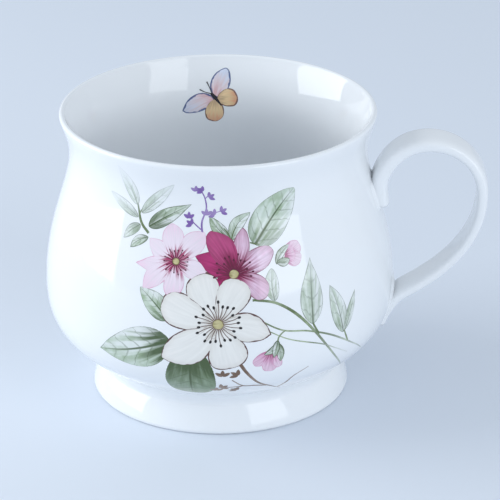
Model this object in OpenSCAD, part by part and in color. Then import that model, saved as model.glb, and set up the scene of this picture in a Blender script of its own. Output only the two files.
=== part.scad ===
// Footed porcelain teacup: a turned bowl with a flared lip, a foot ring and a strap handle,
// stuck together with slip, and two enamel transfers fired onto the glaze.
// The origin is the centre of the plane that the foot rests on, +Z is up, and the handle is on +X.

/* [Bowl] */
// Height from the table to the top of the outer edge of the lip
cup_h = 84; // [82:0.5:86]
// Outer radius at the lip
rim_r = 45; // [44:0.25:46]
// Direction of the wall at the lip, in degrees above level
rim_slope = 76; // [68:1:84]
// Outer radius at the waist, the narrowest place below the lip
waist_r = 42.5; // [42:0.25:43.5]
// Height of the waist
waist_z = 73; // [71:0.5:74]
// Outer radius at the belly, the widest place
belly_r = 50.2; // [49.5:0.1:51]
// Height of the belly
belly_z = 33.8; // [32:0.2:35]
// Outer radius where the bowl meets the foot
base_r = 33.8; // [33:0.1:34.5]
// Height where the bowl meets the foot
base_z = 10.9; // [10.5:0.1:11.5]
// Direction of the bowl where it meets the foot, in degrees above level
base_slope = 27; // [24:1:30]
// Height of the underside of the floor over the table
recess_h = 7.7; // [7:0.1:8]
// Thickness of the clay below the neck
clay = 3.6; // [3.2:0.1:3.8]
// Thickness of the lip
lip_wall = 1.6; // [1.4:0.1:2.2]
// Height over which the clay thins to the lip
thinning_h = 16; // [12:1:20]

/* [Foot] */
// Largest radius of the foot ring
foot_r = 37.2; // [36.8:0.1:38]
// Thickness of the foot ring where it joins the bowl
foot_wall = 3.2; // [2.8:0.1:3.6]
// Inner radius of the ring at the table
foot_inner_r = 33.9; // [33.6:0.1:34.2]
// Slope of the ring's outer side at the table, in degrees above level
foot_slope = 79; // [72:1:84]
// Roundness of the outer lower edge of the ring
foot_round = 1.2; // [0.8:0.1:1.5]
// Thickness of the slip between the foot ring and the bowl
slip = 0.4; // [0.3:0.1:0.6]

/* [Handle] */
// Width of the strap
strap_w = 12; // [10:0.5:14]
// Thickness of the strap at the top
strap_t = 3.8; // [3.2:0.1:4]
// Thickness of the strap at its lower end
strap_low_t = 3.2; // [2.8:0.1:3.6]
// Distance of the strap's highest point from the cup's axis
crest_x = 60.4; // [59:0.2:62]
// Height of the middle of the strap at its highest point
crest_z = 75.5; // [74.5:0.1:76]
// Distance of the middle of the strap from the cup's axis at its outermost point
reach_x = 75.2; // [74:0.2:77]
// Height of the outermost point
reach_z = 60.5; // [59:0.5:61]

/* [Decoration] */
// Thickness of the fired enamel
enamel = 0.12; // [0.1:0.01:0.2]
// Number of petals of each open bloom
petals = 6; // [5:1:7]

/* [Hidden] */
$fn = 96;

CURVE_STEPS = 12;    // straight pieces in each curve of an outline
ROUND_STEPS = 6;     // straight pieces in each small round
STRAP_SIDES = 16;    // sides of the strap's section
SQUARENESS = 3;      // 2 would make the strap's section an ellipse

glaze_white = [0.95, 0.96, 0.97];
foot_white = [0.92, 0.93, 0.94];
slip_white = [0.90, 0.92, 0.94];
enamel_pink = [0.78, 0.42, 0.58];
enamel_blue = [0.45, 0.52, 0.70];

// A curve is [start, start heading, start reach, end, end heading, end reach]. It leaves its start
// along one heading and meets its end along the other; the reaches say how far each heading holds.
function heading(a) = [cos(a), sin(a)];
function curve_at(c, t) =
    let (p1 = c[0] + c[2] * heading(c[1]), p2 = c[3] - c[5] * heading(c[4]), u = 1 - t)
    u * u * u * c[0] + 3 * u * u * t * p1 + 3 * u * t * t * p2 + t * t * t * c[3];
function slope_at(c, t) =
    let (p1 = c[0] + c[2] * heading(c[1]), p2 = c[3] - c[5] * heading(c[4]), u = 1 - t,
         d = u * u * (p1 - c[0]) + 2 * u * t * (p2 - p1) + t * t * (c[3] - p2))
    atan2(d[1], d[0]);

// Stations [across, up, heading] along a row of curves that run on from each other
function stations(curves) = [
    for (i = [0 : len(curves) - 1])
    for (k = [(i == 0 ? 0 : 1) : CURVE_STEPS])
    let (t = k / CURVE_STEPS, p = curve_at(curves[i], t))
    [p[0], p[1], slope_at(curves[i], t)]
];
// A point to the left of a station, seen along its heading
function beside(s, d) = [s[0] - d * sin(s[2]), s[1] + d * cos(s[2])];
function reversed(list) = [for (i = [len(list) - 1 : -1 : 0]) list[i]];
function round_points(centre, r, from, to) = [
    for (k = [0 : ROUND_STEPS]) centre + r * heading(from + (to - from) * k / ROUND_STEPS)
];

// Outside of the bowl, from the middle of its underside out and up to the lip
flat_r = 20;
UNDERSIDE = [
    [[0, recess_h], 0, flat_r / 3, [flat_r, recess_h], 0, flat_r / 3],
    [[flat_r, recess_h], 0, 5, [base_r, base_z], base_slope, 4]
];
SIDE = [
    [[base_r, base_z], base_slope, 15.4, [belly_r, belly_z], 90, 9.5],
    [[belly_r, belly_z], 90, 17.9, [waist_r, waist_z], 90, 9.9],
    [[waist_r, waist_z], 90, 5.2, [rim_r, cup_h], rim_slope, 3]
];
OUTSIDE = stations(concat(UNDERSIDE, SIDE));
WALL = stations(SIDE);

// The clay is even up to the neck and thins from there to the lip
function wall_at(z) = lip_wall + (clay - lip_wall) * sin(90 * min((cup_h - z) / thinning_h, 1));
outside_points = [for (s = OUTSIDE) beside(s, 0)];
inside_points = [for (s = OUTSIDE) beside(s, wall_at(s[1]))];
lip_end = OUTSIDE[len(OUTSIDE) - 1];
lip_points = round_points(beside(lip_end, lip_wall / 2), lip_wall / 2, lip_end[2] - 90, lip_end[2] + 90);

module cup_body() {
    color(glaze_white)
    rotate_extrude()
    polygon(concat(outside_points, lip_points, reversed(inside_points)));
}

// The solid that the outside of the bowl encloses, used to cut what stands against the wall
module bowl_core() {
    rotate_extrude()
    polygon(concat(outside_points, [[0, cup_h]]));
}

// Part of the underside that the foot ring is stuck to
SEAT = [for (s = stations(UNDERSIDE)) if (s[0] > base_r - foot_wall) s];
seat_top = [for (s = SEAT) beside(s, 0)];
seat_bottom = [for (s = SEAT) beside(s, -slip)];

foot_inner_round = 0.7;
flare_top = seat_bottom[len(seat_bottom) - 1];
flare_bottom = [foot_r, foot_round * (1 + cos(foot_slope))];
neck_slope = 40;
FLARE = stations([[flare_top, -neck_slope, 2.4, flare_bottom, -foot_slope, 4]]);

module foot_ring() {
    flare_end = FLARE[len(FLARE) - 1];
    outer_foot = round_points(beside(flare_end, -foot_round), foot_round, 90 - foot_slope, -90);
    inner_foot = round_points([foot_inner_r + foot_inner_round, foot_inner_round],
                              foot_inner_round, -90, -180);
    color(foot_white)
    rotate_extrude()
    polygon(concat(seat_bottom, [for (i = [1 : len(FLARE) - 2]) beside(FLARE[i], 0)],
                   outer_foot, inner_foot));
}

module foot_joint() {
    color(slip_white)
    rotate_extrude()
    polygon(concat(seat_top, reversed(seat_bottom)));
}

// Middle line of the strap, from its upper end over the crest and down to its lower end
strap_start = [47.2, 66.2];
strap_end = [53, 29.7];
STRAP = stations([
    [strap_start, 66, 1.9, [crest_x, crest_z], 0, 9.1],
    [[crest_x, crest_z], 0, 7.7, [reach_x, reach_z], -90, 9.5],
    [[reach_x, reach_z], -90, 12.5, strap_end, -150, 17]
]);
strap_rings = len(STRAP);
function strap_thickness(i) = strap_t + (strap_low_t - strap_t) * i / (strap_rings - 1);
// Distance from the middle of a rounded oblong to its edge along one axis
function squared(c) = sign(c) * pow(abs(c), 2 / SQUARENESS);

strap_points = [
    for (i = [0 : strap_rings - 1])
    for (k = [0 : STRAP_SIDES - 1])
    let (a = 360 * k / STRAP_SIDES,
         p = beside(STRAP[i], strap_thickness(i) / 2 * squared(sin(a))))
    [p[0], strap_w / 2 * squared(cos(a)), p[1]]
];
strap_faces = concat(
    [reversed([for (k = [0 : STRAP_SIDES - 1]) k])],
    [for (i = [0 : strap_rings - 2])
     for (k = [0 : STRAP_SIDES - 1])
     let (a = i * STRAP_SIDES + k, b = i * STRAP_SIDES + (k + 1) % STRAP_SIDES)
     [a, b, b + STRAP_SIDES, a + STRAP_SIDES]],
    [[for (k = [0 : STRAP_SIDES - 1]) (strap_rings - 1) * STRAP_SIDES + k]]
);

module handle() {
    color(glaze_white)
    polyhedron(points = strap_points, faces = [for (f = strap_faces) reversed(f)], convexity = 4);
}

// A pad of slip and clay with the strap's width, cut to the wall that it stands on
module wall_pad(side_outline) {
    difference() {
        rotate([90, 0, 0])
        linear_extrude(strap_w, center = true)
        polygon(side_outline);
        bowl_core();
    }
}

strap_first = STRAP[0];
strap_last = STRAP[strap_rings - 1];

module upper_handle_joint() {
    color(slip_white)
    wall_pad([
        beside(strap_first, strap_t / 2), beside(strap_first, -strap_t / 2),
        [49.1, 62], [49.1, 58.2], [48.6, 57.1], [47.4, 56.6], [44, 56.4], [40, 58],
        [40, 67.6], [43.4, 67.4], [44.2, 66.4]
    ]);
}

module lower_handle_joint() {
    color(slip_white)
    wall_pad([
        beside(strap_last, -strap_low_t / 2), beside(strap_last, strap_low_t / 2),
        [51.6, 26.1], [50.2, 24.3], [49.1, 22.1], [48.1, 20.4], [46.6, 19.4], [44, 21],
        [44, 32.4], [50.4, 32.2], [51.1, 31.5]
    ]);
}

// Length up the wall from the foot to each station of the bowl's side
WALL_LENGTH = [
    for (i = 0, length = 0; i < len(WALL);
         i = i + 1,
         length = length + (i < len(WALL) ? norm(beside(WALL[i], 0) - beside(WALL[i - 1], 0)) : 0))
    length
];
function on_wall(up_wall, column) =
    lookup(up_wall, [for (i = [0 : len(WALL) - 1]) [WALL_LENGTH[i], WALL[i][column]]]);

// Stands its children on the wall, their +Z outwards and their +Y up the wall
module place_on_wall(azimuth, up_wall, depth) {
    s = [for (column = [0 : 2]) on_wall(up_wall, column)];
    p = beside(s, depth);
    rotate([0, 0, azimuth])
    translate([p[0], 0, p[1]])
    rotate([0, 90 - s[2], 0])
    rotate([90, 0, 90])
    children();
}

// A thin layer on the bowl's side, between two depths into the clay
module wall_layer(from_depth, to_depth, inside = false) {
    low = [for (s = WALL) beside(s, from_depth + (inside ? wall_at(s[1]) : 0))];
    high = [for (s = WALL) beside(s, to_depth + (inside ? wall_at(s[1]) : 0))];
    rotate_extrude()
    polygon(concat(low, reversed(high)));
}

// Petals around a centre, each from a notch out to a tip
module bloom(tip, notch) {
    step = 6;
    polygon([for (a = [0 : step : 360 - step])
             (notch + (tip - notch) * sqrt(abs(cos(petals * a / 2)))) * heading(a)]);
}

// A leaf from its stalk at the origin to its tip
module leaf(length, width, direction) {
    steps = 10;
    edge = [for (k = [0 : steps]) [length * k / steps, width / 2 * sin(180 * k / steps)]];
    rotate(direction)
    polygon(concat(edge, [for (k = [steps - 1 : -1 : 1]) [edge[k][0], -edge[k][1]]]));
}

// Each row is a motif of the flower spray: [azimuth, length up the wall, kind, sizes]
spray = [
    [-88, 37.5, "bloom", [12.5, 8.5]],
    [-82, 51.7, "bloom", [11, 7]],
    [-102, 55, "bloom", [10, 6]],
    [-103, 31, "leaf", [22, 12, 194]],
    [-97, 29.5, "leaf", [20, 13, 268]],
    [-76, 59, "leaf", [21, 11, 40]],
    [-113, 63.5, "leaf", [14, 5, 30]],
    [-118, 66, "leaf", [15, 5, 112]],
    [-57, 34.5, "leaf", [19, 7, 88]],
    [-43.5, 30, "leaf", [15, 6, 110]],
    [-62, 56, "bloom", [3.4, 3.2]],
    [-72, 25, "bloom", [3.6, 3.2]]
];
layer_reach = 9;

module flower_transfer() {
    color(enamel_pink)
    intersection() {
        wall_layer(-enamel, 0);
        union()
        for (m = spray)
        place_on_wall(m[0], m[1], 0)
        linear_extrude(2 * layer_reach, center = true)
        if (m[2] == "bloom") bloom(m[3][0], m[3][1]);
        else leaf(m[3][0], m[3][1], m[3][2]);
    }
}

butterfly_azimuth = 94.5;
butterfly_up = 70;
// Wings are leaves that open from the body: [length, width, direction]
wings = [[10, 5.5, 116], [9.8, 5.5, -22], [6.8, 6, 175], [7.2, 5.6, -86]];

module butterfly_transfer() {
    color(enamel_blue)
    intersection() {
        wall_layer(0, enamel, inside = true);
        place_on_wall(butterfly_azimuth, butterfly_up, 0)
        linear_extrude(layer_reach, center = true)
        union()
        for (w = wings) leaf(w[0], w[1], w[2]);
    }
}

cup_body();
foot_ring();
foot_joint();
handle();
upper_handle_joint();
lower_handle_joint();
flower_transfer();
butterfly_transfer();
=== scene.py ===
import bpy
import numpy as np
from mathutils import Matrix, Vector


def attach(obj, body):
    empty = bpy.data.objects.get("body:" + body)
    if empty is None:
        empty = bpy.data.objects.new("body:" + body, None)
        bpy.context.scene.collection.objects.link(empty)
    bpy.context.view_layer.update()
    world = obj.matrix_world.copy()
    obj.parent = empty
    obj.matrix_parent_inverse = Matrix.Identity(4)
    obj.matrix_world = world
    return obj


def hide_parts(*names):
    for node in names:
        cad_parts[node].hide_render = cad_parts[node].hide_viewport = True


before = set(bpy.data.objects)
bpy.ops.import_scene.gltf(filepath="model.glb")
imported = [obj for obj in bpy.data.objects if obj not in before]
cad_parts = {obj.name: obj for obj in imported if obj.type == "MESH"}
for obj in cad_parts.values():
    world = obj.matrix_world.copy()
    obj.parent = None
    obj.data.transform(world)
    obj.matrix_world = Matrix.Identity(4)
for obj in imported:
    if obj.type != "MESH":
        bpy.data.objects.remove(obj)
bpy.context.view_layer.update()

# --- Studio -------------------------------------------------------------------------------------
# A long lens looks down on the cup from the side that the flower spray is on, with the handle to
# the right. The cup stands on a pale blue paper sweep between two tall soft boxes.
MM = 0.001
CAMERA_AZIMUTH = np.radians(-87.0)     # round the cup, counted from the handle
CAMERA_DISTANCE = 745.94 * MM          # from the cup's axis, level
CAMERA_HEIGHT = 370.58 * MM
CAMERA_TURN = np.radians(2.323)        # how far the lens turns left of straight ahead
CAMERA_PITCH = np.radians(23.847)
CAMERA_ROLL = np.radians(-0.301)
LENS_MM = 202.97                       # on a sensor 36 mm wide

lens = bpy.data.cameras.new("camera")
lens.lens = LENS_MM
lens.sensor_width = 36.0
lens.clip_start = 0.05
camera = bpy.data.objects.new("camera", lens)
bpy.context.collection.objects.link(camera)
camera.matrix_world = (
    Matrix.Translation((CAMERA_DISTANCE * np.cos(CAMERA_AZIMUTH),
                        CAMERA_DISTANCE * np.sin(CAMERA_AZIMUTH), CAMERA_HEIGHT))
    @ Matrix.Rotation(CAMERA_TURN, 4, "Z")
    @ Matrix.Rotation(np.pi / 2 - CAMERA_PITCH, 4, "X")
    @ Matrix.Rotation(CAMERA_ROLL, 4, "Z")
)
bpy.context.scene.camera = camera
bpy.context.scene.view_settings.view_transform = "Standard"


class Wiring:
    """One node tree, wired as its nodes are made. An input is a socket of another node, or a number
    or colour that is set on the socket itself."""

    def __init__(self, tree):
        self.nodes, self.links = tree.nodes, tree.links

    def feed(self, socket, value):
        if isinstance(value, bpy.types.NodeSocket):
            self.links.new(value, socket)
        elif isinstance(value, tuple) and socket.type == "RGBA":
            socket.default_value = (*value, 1)
        else:
            socket.default_value = value

    def node(self, kind, inputs, **settings):
        """The outputs of a new node of this kind, with these settings and its inputs fed by name."""
        node = self.nodes.new("ShaderNode" + kind)
        for name, value in settings.items():
            setattr(node, name, value)
        for label, value in inputs.items():
            self.feed(node.inputs[label], value)
        return node.outputs

    def math(self, operation, *values):
        node = self.nodes.new("ShaderNodeMath")
        node.operation = operation
        for socket, value in zip(node.inputs, values):
            self.feed(socket, value)
        return node.outputs["Value"]

    def step(self, value, low, high, start=0.0, end=1.0, shape="SMOOTHSTEP"):
        """start below low, end above high, and a change of this shape between."""
        ends = {"From Min": low, "From Max": high, "To Min": start, "To Max": end}
        return self.node("MapRange", {"Value": value, **ends}, interpolation_type=shape)["Result"]

    def mix(self, share, a, b, blend="MIX"):
        """The colour a, with this share of it blended with b."""
        colours = {"Factor": share, "A": a, "B": b}
        return self.node("Mix", colours, data_type="RGBA", blend_type=blend)["Result"]

    def noise(self, vector, scale, detail=2.0):
        return self.node("TexNoise", {"Vector": vector, "Scale": scale, "Detail": detail})["Fac"]

    def place(self):
        """The place on the piece, in metres."""
        return self.node("TexCoord", {})["Object"]

    def group(self, tree, **inputs):
        return self.node("Group", inputs, node_tree=tree)

    def surface(self, inputs):
        """The material's shader, with these inputs fed by name, joined to its output."""
        self.node("OutputMaterial", {"Surface": self.node("BsdfPrincipled", inputs)["BSDF"]})


def new_material(name):
    """An empty material and the wiring of its nodes."""
    material = bpy.data.materials.new(name)
    material.use_nodes = True
    material.node_tree.nodes.clear()
    return material, Wiring(material.node_tree)


def new_mesh(name, points, faces):
    """A smooth mesh object from an (n, 3) array of points in metres and a list of faces."""
    mesh = bpy.data.meshes.new(name)
    mesh.from_pydata(points.tolist(), [], faces)
    mesh.polygons.foreach_set("use_smooth", np.full(len(mesh.polygons), True))
    mesh.update()
    piece = bpy.data.objects.new(name, mesh)
    bpy.context.collection.objects.link(piece)
    return piece


PAPER_DEEP = (0.745, 0.795, 0.87)
PAPER_PALE = (0.775, 0.825, 0.90)


def paper_material():
    """Matt pale blue paper with a faint mottle."""
    material, w = new_material("paper")
    mottle = w.noise(w.place(), scale=1.8, detail=3.0)
    w.surface({"Base Color": w.mix(mottle, PAPER_DEEP, PAPER_PALE), "Roughness": 0.75})
    return material


def grid_faces(rows, columns, closed_rows=False, closed_columns=False):
    """Quads of a grid whose points run column by column along each row."""
    r = np.arange(rows if closed_rows else rows - 1)[:, None]
    c = np.arange(columns if closed_columns else columns - 1)[None, :]
    a = r * columns + c
    b = r * columns + (c + 1) % columns
    d = ((r + 1) % rows) * columns + c
    e = ((r + 1) % rows) * columns + (c + 1) % columns
    return np.stack([a, b, e, d], -1).reshape(-1, 4).tolist()


FLOOR_HALF = 2.5
side = np.linspace(-FLOOR_HALF, FLOOR_HALF, 3)
floor_x, floor_y = np.meshgrid(side, side)
floor = new_mesh("floor", np.stack([floor_x, floor_y, 0 * floor_x], -1).reshape(-1, 3),
                 grid_faces(3, 3))
floor.data.materials.append(paper_material())

# Each soft box stands on the floor: its direction from the cup, distance, width, height and power.
SOFT_BOXES = [("left_box", -180, 0.70, 0.575, 0.62, 4.15), ("right_box", -45, 1.20, 0.72, 1.08, 5.6)]
BOX_TINT = (0.95, 0.98, 1.0)
SKY_TINT = (0.82, 0.90, 1.0)
SKY_STRENGTH = 0.69
for name, azimuth, distance, width, height, watts in SOFT_BOXES:
    box = bpy.data.lights.new(name, "AREA")
    box.shape = "RECTANGLE"
    box.size = width
    box.size_y = height
    box.energy = watts
    box.color = BOX_TINT
    lamp = bpy.data.objects.new(name, box)
    bpy.context.collection.objects.link(lamp)
    turn = np.radians(azimuth)
    place = Vector((distance * np.cos(turn), distance * np.sin(turn), height / 2))
    facing = Vector((place.x, place.y, 0.0)).to_track_quat("Z", "Y").to_matrix().to_4x4()
    lamp.matrix_world = Matrix.Translation(place) @ facing

world = bpy.data.worlds.new("studio")
world.use_nodes = True
sky = world.node_tree.nodes["Background"]
sky.inputs["Color"].default_value = (*SKY_TINT, 1)
sky.inputs["Strength"].default_value = SKY_STRENGTH
bpy.context.scene.world = world

# --- Bowl ---------------------------------------------------------------------------------------
# Thin white porcelain, formed on a jigger and turned: floor, round belly, waist and flared lip in
# one piece, dipped in clear glaze.
CUP_HEIGHT = 84.0
RIM_RADIUS = 45.0
RIM_SLOPE = 76.0              # degrees from level
WAIST = (42.5, 73.0)          # radius and height of the narrowest place below the lip
BELLY = (50.2, 33.8)          # radius and height of the widest place
BASE = (33.8, 10.9)           # where the bowl meets its foot
BASE_SLOPE = 27.0
RECESS_HEIGHT = 7.7
FLAT_RADIUS = 20.0
CLAY = 3.6                    # the wall and the floor
LIP_WALL = 1.6
THINNING_HEIGHT = 16.0        # how far below the edge the wall starts to thin
TURNS = 192


def curve(start, heading, reach, end, end_heading, end_reach, steps=36):
    """Points on the cubic curve that leaves start along heading (degrees) and meets end along
    end_heading; p(t) = (1-t)^3 a + 3(1-t)^2 t b + 3(1-t) t^2 c + t^3 d, where b lies reach past
    a and c lies end_reach before d."""
    t = np.linspace(0, 1, steps + 1)[:, None]
    a, d = np.array(start, float), np.array(end, float)
    b = a + reach * np.array([np.cos(np.radians(heading)), np.sin(np.radians(heading))])
    c = d - end_reach * np.array([np.cos(np.radians(end_heading)), np.sin(np.radians(end_heading))])
    return (1 - t) ** 3 * a + 3 * (1 - t) ** 2 * t * b + 3 * (1 - t) * t ** 2 * c + t ** 3 * d


def joined(*curves):
    """Curves that run on from each other, as one line without repeated points."""
    return np.vstack([curves[0]] + [c[1:] for c in curves[1:]])


def left_of(line):
    """Unit vectors to the left of a line at each of its points, seen along the line."""
    ahead = np.gradient(line, axis=0)
    ahead /= np.linalg.norm(ahead, axis=1)[:, None]
    return np.stack([-ahead[:, 1], ahead[:, 0]], -1)


def run_along(line):
    """Distance along a line to each of its points."""
    return np.r_[0, np.cumsum(np.linalg.norm(np.diff(line, axis=0), axis=1))]


def arc(centre, radius, start, end, steps=10):
    """Points on a round from one direction to another, in degrees."""
    a = np.radians(np.linspace(start, end, steps + 1))
    return np.array(centre) + radius * np.stack([np.cos(a), np.sin(a)], -1)


def fan(middle, ring):
    """Triangles from a middle point to each side of a closed ring of points."""
    return np.stack([np.full(len(ring), middle), ring, np.roll(ring, -1)], -1).tolist()


def turned(name, outline, closed=False):
    """A surface of revolution: (r cos a, r sin a, z) for each point (r, z) of the outline, in
    millimetres. An open outline starts and ends on the axis, and its two ends are single points."""
    a = np.linspace(0, 2 * np.pi, TURNS, endpoint=False)
    rings = outline if closed else outline[1:-1]
    r, z = rings[:, :1], rings[:, 1:]
    points = np.stack([r * np.cos(a), r * np.sin(a), z + 0 * a], -1).reshape(-1, 3)
    faces = grid_faces(len(rings), TURNS, closed_rows=closed, closed_columns=True)
    if not closed:
        ring = np.arange(TURNS)
        top = (len(rings) - 1) * TURNS
        faces += fan(len(points), ring[::-1]) + fan(len(points) + 1, top + ring)
        points = np.vstack([points, [0, 0, outline[0, 1]], [0, 0, outline[-1, 1]]])
    return new_mesh(name, points * MM, faces)


# Each curve's reaches say how far it holds the heading that it leaves or meets its end with.
underside = joined(curve((0, RECESS_HEIGHT), 0, 6, (FLAT_RADIUS, RECESS_HEIGHT), 0, 6, 12),
                   curve((FLAT_RADIUS, RECESS_HEIGHT), 0, 5, BASE, BASE_SLOPE, 4, 20))
wall = joined(curve(BASE, BASE_SLOPE, 15.4, BELLY, 90, 9.5),
              curve(BELLY, 90, 17.9, WAIST, 90, 9.9, 48),
              curve(WAIST, 90, 5.2, (RIM_RADIUS, CUP_HEIGHT), RIM_SLOPE, 3, 24))
outside = joined(underside, wall)
clay = LIP_WALL + (CLAY - LIP_WALL) * np.sin(
    np.pi / 2 * np.minimum((CUP_HEIGHT - outside[:, 1]) / THINNING_HEIGHT, 1))
inside = outside + left_of(outside) * clay[:, None]
inside[0, 0] = 0
lip = arc(outside[-1] + left_of(outside)[-1] * LIP_WALL / 2, LIP_WALL / 2,
          RIM_SLOPE - 90, RIM_SLOPE + 90, 16)


def new_group(name, inputs, outputs, kind="Float"):
    """A shader node group with float inputs and outputs of this kind, as (group, its wiring, the
    sockets that bring its inputs, the sockets that take its outputs)."""
    group = bpy.data.node_groups.new(name, "ShaderNodeTree")
    for label in inputs:
        group.interface.new_socket(label, in_out="INPUT", socket_type="NodeSocketFloat")
    for label in outputs:
        group.interface.new_socket(label, in_out="OUTPUT", socket_type="NodeSocket" + kind)
    given = group.nodes.new("NodeGroupInput").outputs
    return group, Wiring(group), given, group.nodes.new("NodeGroupOutput").inputs


RIPPLE_HEIGHT = 0.00008
WAVE_SCALE = 45.0
PEEL_SCALE = 700.0


def glaze_ripple_group():
    """Faint unevenness of a dipped glaze: broad waves and fine orange peel, as a normal."""
    group, w, given, out = new_group("glaze_ripple", ["Waves", "Peel"], ["Normal"], "Vector")
    waves = {"Strength": given["Waves"], "Distance": RIPPLE_HEIGHT,
             "Height": w.noise(w.place(), WAVE_SCALE, 1.0)}
    peel = {"Strength": given["Peel"], "Distance": RIPPLE_HEIGHT,
            "Height": w.noise(w.place(), PEEL_SCALE, 1.0), "Normal": w.node("Bump", waves)["Normal"]}
    w.feed(out["Normal"], w.node("Bump", peel)["Normal"])
    return group


glaze_ripple = glaze_ripple_group()
GLAZE_ROUGHNESS = 0.06
GLASS_IOR = 1.52
BRIGHT_WHITE = (0.885, 0.90, 0.915)
SHADED_WHITE = (0.86, 0.885, 0.91)


def glassy(w, colour, roughness):
    """A glassy surface of this colour, faintly uneven as a dipped glaze is."""
    ripple = w.group(glaze_ripple, Waves=0.35, Peel=0.05)
    w.surface({"Base Color": colour, "Normal": ripple["Normal"], "Roughness": roughness,
               "IOR": GLASS_IOR})


def glazed_clay(name, wire_roughness=None):
    """Clear glaze over white clay. The tone drifts a little between two whites with the depth of
    the glaze, and a few faint specks lie under it. The glaze is equally smooth all over, or as
    rough as wire_roughness makes it."""
    material, w = new_material(name)
    place = w.place()
    tone = w.mix(w.noise(place, scale=28.0), SHADED_WHITE, BRIGHT_WHITE)
    from_speck = w.node("TexVoronoi", {"Vector": place, "Scale": 260.0})["Distance"]
    speck = w.step(from_speck, 0.015, 0.05, 0.93, 1.0, "LINEAR")
    roughness = wire_roughness(w) if wire_roughness else GLAZE_ROUGHNESS
    glassy(w, w.mix(1.0, tone, speck, "MULTIPLY"), roughness)
    return material


bowl = turned("bowl", np.vstack([outside, lip[1:-1], inside[::-1]]))
bowl.data.materials.append(glazed_clay("bowl_glaze"))
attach(bowl, "root")
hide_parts("cup_body")

# --- Foot ---------------------------------------------------------------------------------------
# A tall flared ring, turned, stuck under the bowl with slip and glazed with it. The edge that it
# stands on is wiped dry before firing.
FOOT_RADIUS = 37.2            # at the table
FOOT_WALL = 3.2               # where it meets the bowl
FOOT_NECK = 33.0              # its radius there
FOOT_INNER = 33.9             # its inner radius at the table
NECK_SLOPE = 40.0             # degrees down from level, just under the bowl
FOOT_SLOPE = 79.0             # and just above the table
FOOT_ROUND = 1.2
INNER_ROUND = 0.7
SLIP = 0.4

at_seat = (underside[:, 0] > FOOT_NECK - FOOT_WALL) & (underside[:, 0] < FOOT_NECK)
seat_line = underside[at_seat]
seat_low = seat_line - left_of(underside)[at_seat] * SLIP
flare_end = np.array([FOOT_RADIUS, FOOT_ROUND * (1 + np.cos(np.radians(FOOT_SLOPE)))])
flare = curve(seat_low[-1], -NECK_SLOPE, 2.4, flare_end, -FOOT_SLOPE, 4.0, 32)
round_centre = flare_end - FOOT_ROUND * left_of(flare)[-1]
outer_round = arc(round_centre, FOOT_ROUND, 90 - FOOT_SLOPE, -90, 10)
inner_round = arc((FOOT_INNER + INNER_ROUND, INNER_ROUND), INNER_ROUND, -90, -180, 6)
inner_side = curve(inner_round[-1], 90, 3, seat_low[0], 110, 2, 10)
foot_outline = np.vstack([seat_low, flare[1:], outer_round[1:], inner_round, inner_side[1:-1]])
foot = turned("foot", foot_outline[::-1], closed=True)


DRY_HEIGHT = 0.45 * MM                  # where the glaze starts, with no wander
DRY_FADE = 0.15 * MM                    # how far it takes to reach its full gloss
DRY_WANDER = 0.6 * MM
DRY_ROUGHNESS = 0.62


def dry_edge(w):
    """The roughness of a glaze that stops in an uneven line just above the table, with dry clay
    below it."""
    place = w.place()
    height = w.node("SeparateXYZ", {"Vector": place})["Z"]
    wander = w.math("MULTIPLY", w.noise(place, scale=160.0), DRY_WANDER)
    return w.step(w.math("ADD", wander, height), DRY_HEIGHT, DRY_HEIGHT + DRY_FADE,
                  DRY_ROUGHNESS, GLAZE_ROUGHNESS, "LINEAR")


foot.data.materials.append(glazed_clay("foot_glaze", dry_edge))
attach(foot, "root")
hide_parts("foot_ring")

# --- Foot joint ---------------------------------------------------------------------------------
# The slip between foot and bowl, wiped to a small hollow on both sides and glazed over.
FILLET_REACH = 3.0                      # how far the outer hollow runs along each surface
INNER_REACH = 0.8                       # how far the inner one runs under the bowl
SUNK = 0.03                             # how far its edges lie under the glaze


def heading(line, i):
    """The direction of a line at its point i, in degrees."""
    side = left_of(line)[i]
    return np.degrees(np.arctan2(-side[0], side[1]))


outer_start = np.argmax(outside[:, 0] > FOOT_NECK + FILLET_REACH)
outer_stop = np.argmax(run_along(flare) > FILLET_REACH)
hollow = curve(outside[outer_start] + left_of(outside)[outer_start] * SUNK,
               heading(outside, outer_start) + 180, 1.7,
               flare[outer_stop] - left_of(flare)[outer_stop] * SUNK,
               heading(flare, outer_stop), 1.7, 18)
inner_start = np.argmax(underside[:, 0] > FOOT_NECK - FOOT_WALL - INNER_REACH)
inner_hollow = curve(inner_side[-4] + [0.1, 0], 105, 0.4,
                     underside[inner_start] + [0, SUNK], 200, 0.4, 8)
foot_slip = turned("foot_slip", np.vstack([hollow, inner_hollow])[::-1], closed=True)
foot_slip.data.materials.append(glazed_clay("slip_glaze"))
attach(foot_slip, "root")
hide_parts("foot_joint")

# --- Handle -------------------------------------------------------------------------------------
# A flat strap of the same clay, pressed in a mould, cut to the wall at both ends and stuck on
# below the waist and under the belly. Its edges are sponged round.
STRAP_WIDTH = 12.0
STRAP_THICKNESS = 3.8
SQUARENESS = 3.4                        # 2 would make the strap's section an ellipse
UPPER_END = (46.9, 57.2)
SHOULDER = (47.2, 66.2)
CROWN = (60.4, 75.5)
BACK = (75.2, 60.5)
ELBOW = (53.0, 29.7)
LOWER_END = (46.6, 20.6)
strap_line = joined(
    curve(UPPER_END, 92, 3.0, SHOULDER, 66, 3.0, 16),
    curve(SHOULDER, 66, 1.9, CROWN, 0, 9.1, 30),
    curve(CROWN, 0, 7.7, BACK, -90, 9.5, 36),
    curve(BACK, -90, 12.5, ELBOW, -150, 17.0, 48),
    curve(ELBOW, -150, 3.0, LOWER_END, -112, 3.5, 16),
)


def squared(wave, squareness):
    """A sine or cosine v pushed towards a square wave: sign(v) |v|^(2/k)."""
    return np.sign(wave) * np.abs(wave) ** (2 / squareness)


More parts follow.
